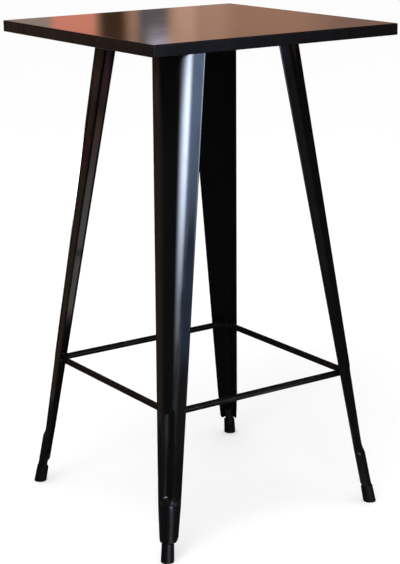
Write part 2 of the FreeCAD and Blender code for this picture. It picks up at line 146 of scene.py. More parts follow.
# marks that the other paints share
sheetMarks = {"cloudSize": 0.07, "wipeSize": 0.03, "scuffSize": 0.012, "chipSize": 0.005}
skirtPaint = {
    "base": (0.0066, 0.0055, 0.0054, 1), "shade": (0.0052, 0.0044, 0.0043, 1),
    "worn": (0.05, 0.042, 0.038, 1), "wear": 0.35,
    "gloss": 0.2, "dull": 0.32, "specular": 0.04,
    "peelSize": 0.0028, "peelDepth": 0.000004, "swellSize": 0.06, "swellDepth": 0.00002,
}
legPaint = {
    "base": (0.0048, 0.0045, 0.0048, 1), "shade": (0.0038, 0.0036, 0.0038, 1),
    "worn": (0.05, 0.048, 0.046, 1), "wear": 0.12,
    "gloss": 0.1, "dull": 0.16, "specular": 0.25, "ankle": 0.1, "ankleFade": (0.112, 0.136),
    "peelSize": 0.0028, "peelDepth": 0.0000035, "swellSize": 0.08, "swellDepth": 0.00009,
}
railPaint = {
    "base": (0.0055, 0.0047, 0.0045, 1), "shade": (0.0042, 0.0037, 0.0036, 1),
    "worn": (0.03, 0.026, 0.024, 1), "wear": 0.3,
    "gloss": 0.24, "dull": 0.4, "specular": 0.1, "scuffed": 0.5,
    "peelSize": 0.0028, "peelDepth": 0.000004, "swellSize": 0.05, "swellDepth": 0.00001,
}
framePaint = {
    "base": (0.007, 0.007, 0.0073, 1), "shade": (0.005, 0.005, 0.0053, 1),
    "worn": (0.03, 0.029, 0.028, 1), "wear": 0.4,
    "gloss": 0.34, "dull": 0.48, "specular": 0.14,
    "peelSize": 0.002, "peelDepth": 0.000012, "swellSize": 0.05, "swellDepth": 0.00002,
}


def paintRelief(bench, look):
    peel = grain(bench, look["peelSize"], 1.0)
    swell = grain(bench, look["swellSize"], 1.0)
    low = bench.add("ShaderNodeBump", None, {"Height": swell, "Distance": look["swellDepth"]})
    return bench.add("ShaderNodeBump", None, {"Height": peel, "Distance": look["peelDepth"], "Normal": low})


def makeTopPaintBrownReflection(look):
    material, bench = newFinish("top_gloss_painted_brown_reflection")
    cloud = grain(bench, look["cloudSize"], 3.0)
    wiped = between(bench, grain(bench, look["wipeSize"], 3.0, (0.5, 1, 1), (0, 0, 0.5)), 0.42, 0.72)
    scratches = grain(bench, look["scratchSize"], 2.0, (0.02, 1, 1), (0, 0, 0.35))
    crossing = grain(bench, look["crossSize"], 2.0, (1, 0.02, 1), (0, 0, -0.2))
    scratched = between(bench, scratches, 0.68, 0.74) + between(bench, crossing, 0.69, 0.75)
    chips = between(bench, grain(bench, look["chipSize"], 4.0), 0.5, 0.66)
    chipped = chips * mark(bench, "edge") * look["wear"]
    # base and shade carry the painted brown reflection
    tone = blendColour(bench, cloud, look["base"], look["shade"])
    colour = blendColour(bench, chipped, tone, look["worn"])
    roughness = look["gloss"] + wiped * (look["dull"] - look["gloss"])
    roughness = roughness + scratched * 0.02 + chipped * 0.2
    return closeFinish(bench, material, {
        "Base Color": colour, "Roughness": roughness, "Specular IOR Level": look["specular"],
        "Normal": paintRelief(bench, look)})


def makeSheetPaint(name, look):
    material, bench = newFinish(name)
    cloud = grain(bench, sheetMarks["cloudSize"], 3.0)
    wiped = between(bench, grain(bench, sheetMarks["wipeSize"], 4.0, (1, 1, 0.3)), 0.45, 0.75)
    chips = between(bench, grain(bench, sheetMarks["chipSize"], 4.0), 0.52, 0.68)
    chipped = chips * mark(bench, "edge") * look["wear"]
    tone = blendColour(bench, cloud, look["base"], look["shade"])
    roughness = look["gloss"] + wiped * (look["dull"] - look["gloss"]) + chipped * 0.2
    if "scuffed" in look:  # shoes rub the upper side of the bar
        scuffs = between(bench, grain(bench, sheetMarks["scuffSize"], 5.0), 0.5, 0.7)
        rubbed = between(bench, facingUp(bench), 0.2, 0.9) * scuffs
        chipped = chipped + rubbed * look["scuffed"]
        roughness = roughness + rubbed * 0.12
    if "ankle" in look:  # and dull the legs near the floor
        low = 1 - between(bench, heightAbove(bench), *look["ankleFade"])
        roughness = roughness + low * look["ankle"]
    colour = blendColour(bench, chipped, tone, look["worn"])
    return closeFinish(bench, material, {
        "Base Color": colour, "Roughness": roughness, "Specular IOR Level": look["specular"],
        "Normal": paintRelief(bench, look)})


# the hidden fasteners' plating

zincLook = {
    "bright": (0.56, 0.56, 0.58, 1), "dim": (0.36, 0.36, 0.37, 1), "stain": (0.5, 0.47, 0.4, 1),
    "spangleSize": 0.0016, "stainSize": 0.006, "gloss": 0.26, "relief": 0.00001,
}


def makeZinc(look):
    material, bench = newFinish("zinc_plate")
    spangle = grain(bench, look["spangleSize"], 3.0)
    stained = between(bench, grain(bench, look["stainSize"], 2.0), 0.5, 0.75)
    tone = blendColour(bench, spangle, look["bright"], look["dim"])
    colour = blendColour(bench, stained, tone, look["stain"])
    relief = bench.add("ShaderNodeBump", None, {"Height": spangle, "Distance": look["relief"]})
    return closeFinish(bench, material, {
        "Base Color": colour, "Metallic": 1.0, "Roughness": look["gloss"] + spangle * 0.2, "Normal": relief})


# the feet's rubber, a little dusty where it meets the floor

rubberLook = {
    "base": (0.004, 0.004, 0.0042, 1), "shade": (0.003, 0.003, 0.003, 1), "dust": (0.014, 0.013, 0.012, 1),
    "poreSize": 0.0011, "cloudSize": 0.012, "dustSize": 0.004, "dustFade": (0.001, 0.011), "dusty": 0.5,
    "gloss": 0.28, "specular": 0.15, "relief": 0.00002,
}


def makeRubber(look):
    material, bench = newFinish("foot_rubber_black")
    pores = grain(bench, look["poreSize"], 2.0)
    low = 1 - between(bench, heightAbove(bench), *look["dustFade"])
    dust = low * between(bench, grain(bench, look["dustSize"], 4.0), 0.42, 0.7) * look["dusty"]
    tone = blendColour(bench, grain(bench, look["cloudSize"], 3.0), look["base"], look["shade"])
    relief = bench.add("ShaderNodeBump", None, {"Height": pores, "Distance": look["relief"]})
    return closeFinish(bench, material, {
        "Base Color": blendColour(bench, dust, tone, look["dust"]),
        "Roughness": look["gloss"] + pores * 0.14 + dust * 0.2,
        "Specular IOR Level": look["specular"], "Normal": relief})


finishes = {
    "top_paint": makeTopPaintBrownReflection(topPaintBrownReflection),
    "leg_paint": makeSheetPaint("leg_gloss_black", legPaint),
    "rail_paint": makeSheetPaint("rail_gloss_black", railPaint),
    "frame_paint": makeSheetPaint("frame_satin_black", framePaint),
    "zinc": makeZinc(zincLook),
    "foot_rubber": makeRubber(rubberLook),
}
skirtFinish = makeSheetPaint("skirt_satin_brown", skirtPaint)
for subpart in frame["record"]["subparts"]:
    node = frame["nodes"][subpart["node"]]
    node.data.materials.clear()
    node.data.materials.append(finishes[subpart["material_slot"]])
print("finishes made:", ", ".join(finishes))


# helpers for the pieces

weldGap = 0.000002  # points closer than this, in metres, become one
sharpAngle = 32.0  # a steeper crease than this shows as an edge
roundSteps = 48  # points round a turned piece
endRadius = 0.01  # a turned piece's closed end, in mm


def skin(rows, columns, loop=True):
    faces = []
    for row in range(rows - 1):
        for column in range(columns if loop else columns - 1):
            following = (column + 1) % columns
            faces.append((row * columns + column, row * columns + following,
                          (row + 1) * columns + following, (row + 1) * columns + column))
    return faces


def newMesh(name, points, faces, edge):
    # edge says how worn the paint is at each point
    mesh = bpy.data.meshes.new(name)
    mesh.from_pydata([tuple(point) for point in points], [], faces)
    mesh.attributes.new("edge", "FLOAT", "POINT").data.foreach_set("value", np.asarray(edge, np.float32))
    work = bmesh.new()
    work.from_mesh(mesh)
    bmesh.ops.remove_doubles(work, verts=work.verts, dist=weldGap)
    bmesh.ops.recalc_face_normals(work, faces=work.faces)
    work.to_mesh(mesh)
    work.free()
    mesh.shade_smooth()
    mesh.set_sharp_from_angle(angle=math.radians(sharpAngle))
    return mesh


def setPiece(name, mesh, slot, nodes):
    piece = bpy.data.objects.new(name, mesh)
    scene.collection.objects.link(piece)
    if finishes[slot].name not in mesh.materials:
        mesh.materials.clear()
        mesh.materials.append(finishes[slot])
    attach(piece, "root")
    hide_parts(*nodes)
    return piece


def turnedMesh(name, rings, around=roundSteps, edges=()):
    # rings are (radius, height), each one number or one per angle, from one end of the piece to the other
    angles = np.linspace(0, 2 * math.pi, around, endpoint=False)
    points = []
    worn = []
    for index, (radius, height) in enumerate(rings):
        radius = np.broadcast_to(radius, around)
        height = np.broadcast_to(height, around)
        points.append(np.stack([radius * np.cos(angles), radius * np.sin(angles), height], 1))
        worn.append(np.full(around, 1.0 if index in edges else 0.0))
    return newMesh(name, np.concatenate(points) * mm, skin(len(rings), around), np.concatenate(worn))


def hexRadius(across):
    angles = np.linspace(0, 2 * math.pi, roundSteps, endpoint=False)
    return across / 2 / np.cos((angles + math.pi / 6) % (math.pi / 3) - math.pi / 6)


# the top: a folded tray with a lip turned in at its lower edge

topSizes = {
    "half": 300.0, "upper": 1062.0, "sheet": 1.2, "skirt": 24.0, "fold": 2.0, "lip": 10.0, "lipFold": 1.7,
    "innerFold": 0.8, "sideSteps": 20, "cornerSteps": 6,
}


def cornerArc(quarter, half, corner, steps):
    start = math.radians(90 * quarter)
    turns = start + np.linspace(0, math.pi / 2, steps + 1)
    centre = np.sign([math.cos(start + math.pi / 4), math.sin(start + math.pi / 4)]) * (half - corner)
    return centre + corner * np.stack([np.cos(turns), np.sin(turns)], 1)


def squareRing(half, corner, sizes):
    points = []
    rounded = []
    shares = np.linspace(0, 1, sizes["sideSteps"] + 1)[1:-1, None]
    for quarter in range(4):
        arc = cornerArc(quarter, half, corner, sizes["cornerSteps"])
        following = cornerArc(quarter + 1, half, corner, sizes["cornerSteps"])
        points += [arc, arc[-1] + shares * (following[0] - arc[-1])]
        rounded += [1.0] * len(arc) + [0.0] * len(shares)
    return np.concatenate(points), np.array(rounded)


def makeTop(sizes):
    half, upper, sheet, fold = sizes["half"], sizes["upper"], sizes["sheet"], sizes["fold"]
    lipFold, inner = sizes["lipFold"], sizes["innerFold"]
    foot = upper - sizes["skirt"]
    lipEnd = half - sheet - sizes["lip"]
    # rings are half a side, corner radius, height and wear, from the middle of the top round to its underside
    rings = [(size, 0.05, upper, 0.0) for size in (3, 60, 120, 180, 230, 270, 290, 297)]
    for turn in np.linspace(0, math.pi / 2, 7):
        reach = half - fold + fold * math.sin(turn)
        rings.append((reach, max(0.05, fold * math.sin(turn)), upper - fold + fold * math.cos(turn), 1.0))
    for height in (upper - 4, upper - 12, foot + 6, foot + 2.4):
        rings.append((half, fold, height, 0.0))
    for turn in np.linspace(0, math.pi / 2, 6):
        reach = half - lipFold + lipFold * math.cos(turn)
        rings.append((reach, fold - (half - reach) * 0.9, foot + lipFold - lipFold * math.sin(turn), 0.8))
    rings += [(half - 4, 0.3, foot, 0.2), (lipEnd + 0.6, 0.1, foot, 0.5), (lipEnd, 0.1, foot + 0.4, 1.0)]
    rings += [(lipEnd, 0.1, foot + sheet - 0.3, 0.5), (lipEnd + 0.4, 0.1, foot + sheet, 0.0)]
    inside = half - sheet
    rings += [(inside - inner, 0.2, foot + sheet, 0.0), (inside, inner, foot + sheet + inner, 0.0)]
    rings += [(inside, inner, upper - sheet - inner, 0.0), (inside - inner, 0.2, upper - sheet, 0.0)]
    rings += [(size, 0.05, upper - sheet, 0.0) for size in (280, 200, 100, 3)]
    points = []
    edge = []
    for size, corner, height, worn in rings:
        outline, rounded = squareRing(size, corner, sizes)
        points.append(np.column_stack([outline, np.full(len(outline), height)]))
        upright = 0.8 if foot < height < upper - sheet and size == half else 0.0
        edge.append(np.maximum(worn, upright * rounded))
    columns = len(points[0])
    faces = skin(len(rings), columns)
    faces += [tuple(range(columns)), tuple(range((len(rings) - 1) * columns, len(rings) * columns))]
    mesh = newMesh("top_sheet", np.concatenate(points) * mm, faces, np.concatenate(edge))
    # two copies of the same sheet's paint: upward faces take the painted brown reflection, the fold and skirt
    # the near-black copy
    mesh.materials.append(finishes["top_paint"])
    mesh.materials.append(skirtFinish)
    for face in mesh.polygons:
        face.material_index = 0 if face.normal.z > 0.9 else 1
    return setPiece("top_sheet", mesh, "top_paint", ["top_tray"])


makeTop(topSizes)
print("top folded")


# the legs: sheet pressed round a wide bend, hemmed along both flanges, fluted above the ankle

legSizes = {
    # height, outermost line of the bend, bend radius, flat, flat's angle to the diagonal
    "stations": [(1041.8, 213.771, 57.5, 22.0, 45.0), (124.0, 366.151, 20.8, 14.3, 45.0),
                 (114.0, 370.851, 20.4, 13.7, 37.0), (40.0, 385.851, 18.8, 7.2, 15.0)],
    "sheet": 1.5, "hem": 4.0, "hemLift": 0.35, "corner": 11.0, "ease": 1.0,
    "leastFlat": 2.0,  # what the trimmed corner leaves of the flat
    "fluteRadius": 17.5, "fluteDepth": 6.5, "fluteTop": 303.0, "fluteBottom": 137.0,
    "fluteLip": 1.0, "endLip": 0.3, "hemWear": 0.9, "fluteWear": 0.8,
}
# points across half a leg: round the bend, along the flat and round the hem
bendSteps = 29
foldSteps = 8
flatShares = np.concatenate([np.linspace(0, 0.7, 4)[1:], np.linspace(0.7, 1, 12)[1:]])


def smoothStep(low, high, value):
    share = np.clip((value - low) / (high - low), 0, 1)
    return share * share * (3 - 2 * share)


def hump(low, rise, fall, high, value):
    return smoothStep(low, rise, value) * (1 - smoothStep(fall, high, value))


def halfOutline(station, trim, sizes):
    _, apex, bend, flat, angle = station
    sheet, hem = sizes["sheet"], sizes["hem"]
    least = sizes["leastFlat"]
    keptFlat = max(flat - trim, least)
    turn = math.radians(90 - angle) - max(0.0, trim - (flat - least)) / bend
    hemEnd = max(keptFlat - hem, 0.05)
    lift = sizes["hemLift"] * min(1.0, max(0.0, (keptFlat - 4) / 6))  # the folded edge stands a little proud
    steps = [(share * turn, 0, 0) for share in np.linspace(0, 1, bendSteps)]
    for share in flatShares:
        along = share * (keptFlat - sheet)
        steps.append((turn, along, -lift * (1 - smoothStep(2.0, 4.2, keptFlat - along))))
    for fold in np.linspace(0, math.pi, foldSteps + 1)[1:]:
        depth = (2 * sheet - lift) / 2 - (2 * sheet + lift) / 2 * math.cos(fold)
        steps.append((turn, keptFlat - sheet + sheet * math.sin(fold), depth))
    steps += [(turn, hemEnd + 0.4, 2 * sheet), (turn, hemEnd + 0.1, 2 * sheet - 0.15)]
    steps += [(turn, hemEnd, 2 * sheet - 0.5), (turn, hemEnd - 0.02, sheet)]
    steps += [(turn, share * (hemEnd - 0.03), sheet) for share in np.linspace(1, 0, 7)[1:]]
    steps += [(share * turn, 0, sheet) for share in np.linspace(1, 0, 25)[1:]]
    turns, along, depth = np.array(steps).T
    x = apex - bend + (bend - depth) * np.cos(turns) - along * np.sin(turns)
    y = (bend - depth) * np.sin(turns) + along * np.cos(turns)
    return np.stack([x, y, depth], 1)


def legSection(height, trim, sizes):
    stations = sizes["stations"]
    for upper, lower in zip(stations, stations[1:]):
        if height >= lower[0] - 1e-6:
            break
    share = (upper[0] - height) / (upper[0] - lower[0])
    return halfOutline(upper, trim, sizes) * (1 - share) + halfOutline(lower, trim, sizes) * share


def softMin(first, second, reach):
    overlap = np.maximum(reach - np.abs(first - second), 0) / reach
    return np.minimum(first, second) - overlap**2 * reach / 4


def fluteFloor(y, height, radius, sizes):
    head, knee = sizes["stations"][:2]
    slope = (knee[1] - head[1]) / (head[0] - knee[0])
    shift = sizes["fluteRadius"] - sizes["fluteDepth"]
    lean = math.cos(math.atan(slope))
    floor = np.full(len(y), 1e6)
    axis = head[1] + slope * (head[0] - height) + shift
    room = np.maximum(radius**2 - y**2, 0)
    straight = np.where(np.abs(y) < radius, axis - np.sqrt(room) / lean, 1e6)
    if sizes["fluteBottom"] - 3 < height < sizes["fluteTop"] - 3:
        floor = np.minimum(floor, straight)
    for end in (sizes["fluteTop"], sizes["fluteBottom"]):
        centre = head[1] + slope * (head[0] - end) + shift
        left = radius**2 - y**2 - (height - end) ** 2
        ball = np.where(left > 0, centre - np.sqrt(np.maximum(left, 0)), 1e6)
        floor = np.minimum(floor, ball)
    return floor


def legRows(sizes):
    # heights of the rows of points, close together at the flute's ends, the knee, the ankle and the rim
    head, knee, ankle, rim = [station[0] for station in sizes["stations"]]
    rows = list(np.linspace(head, 340, 25)) + list(np.arange(330, 294, -1.5))
    rows += list(np.arange(292, 150, -5.0)) + list(np.arange(148, 126, -1.5))
    rows += [knee + step for step in (1.4, 0.9, 0.4, -0.4, -0.9, -1.4, -3, -5, -7)]
    rows += [ankle + step for step in (1.4, 0.9, 0.4, -0.4, -0.9, -1.4, -3, -6, -9)]
    rows += list(np.arange(102, 54, -4.0))
    rows += [rim + step for step in (11, 9, 7, 5.2, 3.8, 2.7, 1.8, 1.1, 0.6, 0.25, 0.08, 0)]
    return rows


def makeLegMesh(sizes):
    points = []
    edge = []
    rim = sizes["stations"][-1][0]
    top = sizes["stations"][0][0]
    corner, sheet = sizes["corner"], sizes["sheet"]
    low, high = sizes["fluteBottom"], sizes["fluteTop"]
    rows = legRows(sizes)
    for height in rows:
        rise = min(height - rim, corner)
        trim = corner - math.sqrt(max(0, corner**2 - (corner - rise) ** 2))
        ease = min(sizes["ease"], top - height, height - rim)
        near = height + ease * np.linspace(-1, 1, 7)  # eases the crease at each station
        outline = np.mean([legSection(level, trim, sizes) for level in near], 0)
        x, y, depth = outline.T
        order = np.arange(len(depth)) - bendSteps - len(flatShares)
        worn = np.exp(-((depth - sheet) / sizes["hemWear"]) ** 2) * (order >= 0) * (order < foldSteps + 2)
        outer = depth < 0.01
        inner = np.abs(depth - sheet) < 0.01
        inside = hump(low - 2, low + 8, high - 8, high + 2, height)
        lip = sizes["endLip"] + (sizes["fluteLip"] - sizes["endLip"]) * inside
        floor = fluteFloor(y, height, sizes["fluteRadius"], sizes)
        back = fluteFloor(y, height, sizes["fluteRadius"] + sheet, sizes)
        worn = np.maximum(worn, outer * 0.7 * np.exp(-((floor - x) / sizes["fluteWear"]) ** 2))
        pressed = np.where(outer, softMin(x, floor, lip), x)
        pressed = np.where(inner, softMin(x, back, lip * 0.5), pressed)
        right = np.stack([pressed, y, np.full(len(x), height)], 1)
        left = right[-2:0:-1] * (1, -1, 1)
        points.append(np.concatenate([right, left]))
        edge.append(np.concatenate([worn, worn[-2:0:-1]]))
    columns = len(points[0])
    faces = skin(len(rows), columns)
    faces += [tuple(range(columns)), tuple(range((len(rows) - 1) * columns, len(rows) * columns))]
    return newMesh("leg_pressing", np.concatenate(points) * mm, faces, np.concatenate(edge))


legPattern = makeLegMesh(legSizes)
for corner, turn in cornerTurns.items():
    legMesh = legPattern.copy()
    legMesh.transform(Matrix.Rotation(math.radians(turn), 4, "Z"))
    setPiece(f"pressed_leg_{corner}", legMesh, "leg_paint", [f"leg_{corner}"])
print("legs pressed:", len(legPattern.vertices), "points each")


# trees that bend the foot rail and repeat the fixings and feet

def newTree(name, inputs):
    tree = bpy.data.node_groups.new(name, "GeometryNodeTree")
    tree.interface.new_socket("Geometry", in_out="OUTPUT", socket_type="NodeSocketGeometry")
    for label, kind in inputs.items():
        tree.interface.new_socket(label, in_out="INPUT", socket_type=kind)
    bench = Bench(tree)
    given = tree.nodes.new("NodeGroupInput")
    return tree, bench, {label: Wire(bench, given.outputs[label]) for label in inputs}


def closeTree(bench, geometry, material):
    real = bench.add("GeometryNodeRealizeInstances", None, {"Geometry": geometry})
    painted = bench.add("GeometryNodeSetMaterial", None, {"Geometry": real, "Material": material})
    bench.add("NodeGroupOutput", None, {"Geometry": painted})


def growMesh(name, tree, choices, start=None):
    carrier = bpy.data.objects.new(name, start or bpy.data.meshes.new(name))
    scene.collection.objects.link(carrier)
    modifier = carrier.modifiers.new(name, "NODES")
    modifier.node_group = tree
    for item in tree.interface.items_tree:
        if item.in_out == "INPUT" and item.name in choices:
            modifier[item.identifier] = choices[item.name]
    grown = bpy.data.meshes.new_from_object(carrier.evaluated_get(bpy.context.evaluated_depsgraph_get()))
    carrier.modifiers.clear()
    bpy.data.objects.remove(carrier)
    return grown


railSizes = {
    "barLine": 228.988, "boltLine": 212.373, "height": 302.0, "bar": 14.0, "elbow": 16.0,
    "elbowSteps": 14, "around": 36,
}


def makeRailTree():
    tree, bench, given = newTree("bent_bar", {
        "Side": "NodeSocketFloat", "Elbow Radius": "NodeSocketFloat", "Elbow Steps": "NodeSocketInt",
        "Bar Radius": "NodeSocketFloat", "Around": "NodeSocketInt", "Height": "NodeSocketFloat",
        "Paint": "NodeSocketMaterial"})
    square = bench.add("GeometryNodeCurvePrimitiveQuadrilateral", None,
                       {"Width": given["Side"], "Height": given["Side"]})
    bent = bench.add("GeometryNodeFilletCurve", {"mode": "POLY"},
                     {"Curve": square, "Count": given["Elbow Steps"], "Radius": given["Elbow Radius"]})
    section = bench.add("GeometryNodeCurvePrimitiveCircle", None,
                        {"Resolution": given["Around"], "Radius": given["Bar Radius"]})
    bar = bench.add("GeometryNodeCurveToMesh", None, {"Curve": bent, "Profile Curve": section})
    lift = bench.add("ShaderNodeCombineXYZ", None, {"Z": given["Height"]})
    raised = bench.add("GeometryNodeTransform", None, {"Geometry": bar, "Translation": lift})
    smooth = bench.add("GeometryNodeSetShadeSmooth", None, {"Geometry": raised})
    closeTree(bench, smooth, given["Paint"])
    return tree


def makeRail(sizes):
    mesh = growMesh("rail_bar", makeRailTree(), {
        "Side": 2 * sizes["barLine"] * mm, "Elbow Radius": sizes["elbow"] * mm,
        "Elbow Steps": sizes["elbowSteps"], "Bar Radius": sizes["bar"] / 2 * mm, "Around": sizes["around"],
        "Height": sizes["height"] * mm, "Paint": finishes["rail_paint"]})
    return setPiece("rail_bar", mesh, "rail_paint", ["foot_rail"])


def makeRepeatTree():
    tree, bench, given = newTree("repeat_piece", {
        "Geometry": "NodeSocketGeometry", "Pattern": "NodeSocketObject", "Spin": "NodeSocketFloat",
        "Seed": "NodeSocketInt", "Finish": "NodeSocketMaterial"})
    pattern = bench.add("GeometryNodeObjectInfo", None, {"Object": given["Pattern"]}, "Geometry")
    pose = bench.add("GeometryNodeInputNamedAttribute", {"data_type": "FLOAT_VECTOR"}, {"Name": "pose"})
    facing = bench.add("FunctionNodeEulerToRotation", None, {0: pose})
    chance = bench.add("FunctionNodeRandomValue", {"data_type": "FLOAT"},
                       {2: 0.0, 3: given["Spin"], "Seed": given["Seed"]}, 1)
    aboutAxis = bench.add("ShaderNodeCombineXYZ", None, {"Z": chance})
    spin = bench.add("FunctionNodeEulerToRotation", None, {0: aboutAxis})
    turned = bench.add("FunctionNodeRotateRotation", {"rotation_space": "LOCAL"}, {0: facing, 1: spin})
    copies = bench.add("GeometryNodeInstanceOnPoints", None,
                       {"Points": given["Geometry"], "Instance": pattern, "Rotation": turned})
    closeTree(bench, copies, given["Finish"])
    return tree


repeatTree = makeRepeatTree()


def repeatPiece(name, pattern, places, slot, nodes, spin=0.0, seed=1):
    # places are (position in mm, rotation) for each copy of the pattern
    holder = bpy.data.objects.new(f"{name}_pattern", pattern)
    points = bpy.data.meshes.new(f"{name}_points")
    points.from_pydata([tuple(Vector(position) * mm) for position, _ in places], [], [])
    poses = points.attributes.new("pose", "FLOAT_VECTOR", "POINT")
    poses.data.foreach_set("vector", np.array([tuple(turn) for _, turn in places], np.float32).ravel())
    mesh = growMesh(name, repeatTree, {
        "Pattern": holder, "Spin": spin, "Seed": seed, "Finish": finishes[slot]}, points)
    bpy.data.objects.remove(holder)
    return setPiece(name, mesh, slot, nodes)


# the rail's button bolts and spacers, in mm along the bolt from the bar's middle line

railBoltSizes = {
    "socket": 4.0, "socketDepth": 2.1, "land": 3.0, "head": 5.25, "crown": -10.3, "seat": -7.0,
    "dome": 6.3, "domeCentre": (-0.811, -5.284), "shank": 3.0, "tip": 14.7,
}
spacerSizes = {"radius": 6.0, "innerEnd": 4.2, "outerEnd": 16.1}


def makeRailBolt(sizes):
    socket = hexRadius(sizes["socket"])
    crown, land, seat = sizes["crown"], sizes["land"], sizes["seat"]
    shank, tip, dome = sizes["shank"], sizes["tip"], sizes["dome"]
    depth = crown + sizes["socketDepth"]
    rings = [(endRadius, depth), (socket * 0.96, depth - 0.45), (socket, crown + 0.15)]
    rings += [(socket + 0.15, crown), (land, crown)]
    aside, along = sizes["domeCentre"]
    start = math.atan2(crown - along, land - aside)
    end = math.atan2(seat - along, sizes["head"] - aside)
    for turn in np.linspace(start, end, 8)[1:]:
        rings.append((aside + dome * math.cos(turn), along + dome * math.sin(turn)))
    rings += [(sizes["head"] - 0.15, seat + 0.25), (shank, seat + 0.25)]
    rings += [(shank, tip - 0.5), (shank - 0.5, tip), (endRadius, tip)]
    return turnedMesh("button_bolt", rings, edges=(3, 4))


def makeSpacer(sizes):
    # its inner end is hidden in the bar and its outer end in the leg's sheet
    radius, low, high = sizes["radius"], sizes["innerEnd"], sizes["outerEnd"]
    rings = [(endRadius, low), (radius, low), (radius, high - 0.7), (radius - 0.2, high - 0.15)]
    rings.append((endRadius, high))
    return turnedMesh("rail_spacer", rings)


# the bolts and washers at the legs' heads, in mm up from the washer's underside

headBoltSizes = {"across": 13.0, "head": 5.3, "face": 5.95, "shank": 4.0, "tip": 14.6}
washerSizes = {"bore": 4.25, "radius": 8.0, "thickness": 1.6}
headSizes = {"far": 138.0, "near": 108.0, "height": 1040.2}  # where they stand


def makeHexBolt(sizes):
    across = hexRadius(sizes["across"])
    head, shank, tip = sizes["head"], sizes["shank"], sizes["tip"]
    rings = [(endRadius, -head), (sizes["face"], -head)]
    for radius, rise in ((6.3, 0.08), (6.9, 0.4), (7.25, 0.65)):  # turned corners of the head
        rings.append((np.minimum(across, radius), rise - head))
    rings += [(across, 0.85 - head), (across, -0.3), (across - 0.3, 0), (shank, 0)]
    rings += [(shank, tip - 0.7), (shank - 0.6, tip), (endRadius, tip)]
    return turnedMesh("hex_bolt", rings, edges=(3, 4, 5))


def makeWasher(sizes):
    bore, radius, thickness = sizes["bore"], sizes["radius"], sizes["thickness"]
    rings = [(bore, 0.2), (bore + 0.2, 0), (radius - 0.5, 0), (radius - 0.1, 0.2), (radius, 0.6)]
    rings += [(radius, thickness), (bore, thickness), (bore, 0.2)]
    return turnedMesh("flat_washer", rings, edges=(3, 4))


def railPlaces(sizes):
    places = []
    for x in (1, -1):
        for y in (1, -1):
            for along, across, outward in ((sizes["barLine"], sizes["boltLine"], Vector((x, 0, 0))),
                                           (sizes["boltLine"], sizes["barLine"], Vector((0, y, 0)))):
                facing = outward.to_track_quat("Z", "Y").to_euler()
                places.append(((x * along, y * across, sizes["height"]), facing))
    return places


def headPlaces(sizes):
    far, near = sizes["far"], sizes["near"]
    places = []
    for x in (1, -1):
        for y in (1, -1):
            for along, across in ((far, near), (near, far)):
                places.append(((x * along, y * across, sizes["height"]), Euler((0, 0, 0))))
    return places


makeRail(railSizes)
railSpots = railPlaces(railSizes)
repeatPiece("rail_button_bolts", makeRailBolt(railBoltSizes), railSpots, "frame_paint", ["rail_bolts"],
            spin=1.0, seed=5)
repeatPiece("rail_bolt_spacers", makeSpacer(spacerSizes), railSpots, "frame_paint", ["rail_spacers"])
print("foot rail bent and bolted")
headSpots = headPlaces(headSizes)
repeatPiece("leg_head_bolts", makeHexBolt(headBoltSizes), headSpots, "zinc", ["head_bolts"], spin=1.0, seed=9)
repeatPiece("leg_head_washers", makeWasher(washerSizes), headSpots, "zinc", ["head_washers"])
print("legs bolted up")


# the feet: a stub tube in each ankle, and a flared rubber cap pushed onto it

footSizes = {
    "reach": 374.453, "rim": 40.0, "tilt": 11.459,
    # in mm along the tilted line, from where it leaves the ankle
    "stub": 9.5, "stubWall": 1.5, "stubTop": 30.0, "stubFoot": -32.81,
    "capTop": -3.03, "topRadius": 13.0, "footRadius": 14.0, "footLevel": -43.65, "ease": 1.2, "footEase": 0.9,
    "around": 64,
}


def makeStub(sizes):
    outer, inner = sizes["stub"], sizes["stub"] - sizes["stubWall"]
    low, high = sizes["stubFoot"], sizes["stubTop"]
    rings = [(inner, low), (outer, low), (outer, high - 0.4), (outer - 0.4, high), (inner + 0.3, high)]
    rings += [(inner, high - 0.3), (inner, low)]
    return turnedMesh("stub_tube", rings, edges=(3,))


def makeCap(sizes):
    angles = np.linspace(0, 2 * math.pi, sizes["around"], endpoint=False)
    tilt = math.radians(sizes["tilt"])

    def floorLevel(radius):
        return -(sizes["rim"] + radius * np.cos(angles) * math.sin(tilt)) / math.cos(tilt)

    top = sizes["capTop"]
    ease = sizes["ease"]
    rings = [(endRadius, sizes["stubFoot"]), (sizes["stub"], sizes["stubFoot"]), (sizes["stub"], top - 0.5)]
    rings += [(sizes["stub"] + 0.4, top), (sizes["topRadius"] - ease, top)]
    for turn in np.linspace(0, math.pi / 2, 5)[1:]:
        rings.append((sizes["topRadius"] - ease + ease * math.sin(turn), top - ease + ease * math.cos(turn)))
    start = top - ease
    flare = (sizes["footRadius"] - sizes["topRadius"]) / (start - sizes["footLevel"])
    bottom = floorLevel(sizes["footRadius"])
    for share in (0.2, 0.4, 0.6, 0.8, 0.92):
        level = start + (bottom + sizes["footEase"] - start) * share
        rings.append((sizes["topRadius"] + flare * (start - level), level))
    last = sizes["topRadius"] + flare * (start - bottom)
    for turn in np.linspace(0, math.pi / 2, 5):
        radius = last - sizes["footEase"] * (1 - math.cos(turn))
        rings.append((radius, floorLevel(radius) + sizes["footEase"] * (1 - math.sin(turn))))
    middle = sizes["footRadius"] / 2
    rings += [(middle, floorLevel(middle)), (endRadius, floorLevel(endRadius))]
    return turnedMesh("foot_cap_moulding", rings, sizes["around"])


def footPlaces(sizes):
    places = []
    for turn in cornerTurns.values():
        angle = math.radians(turn)
        lean = Matrix.Rotation(angle, 4, "Z") @ Matrix.Rotation(-math.radians(sizes["tilt"]), 4, "Y")
        x, y = sizes["reach"] * math.cos(angle), sizes["reach"] * math.sin(angle)
        places.append(((x, y, sizes["rim"]), lean.to_euler()))
    return places


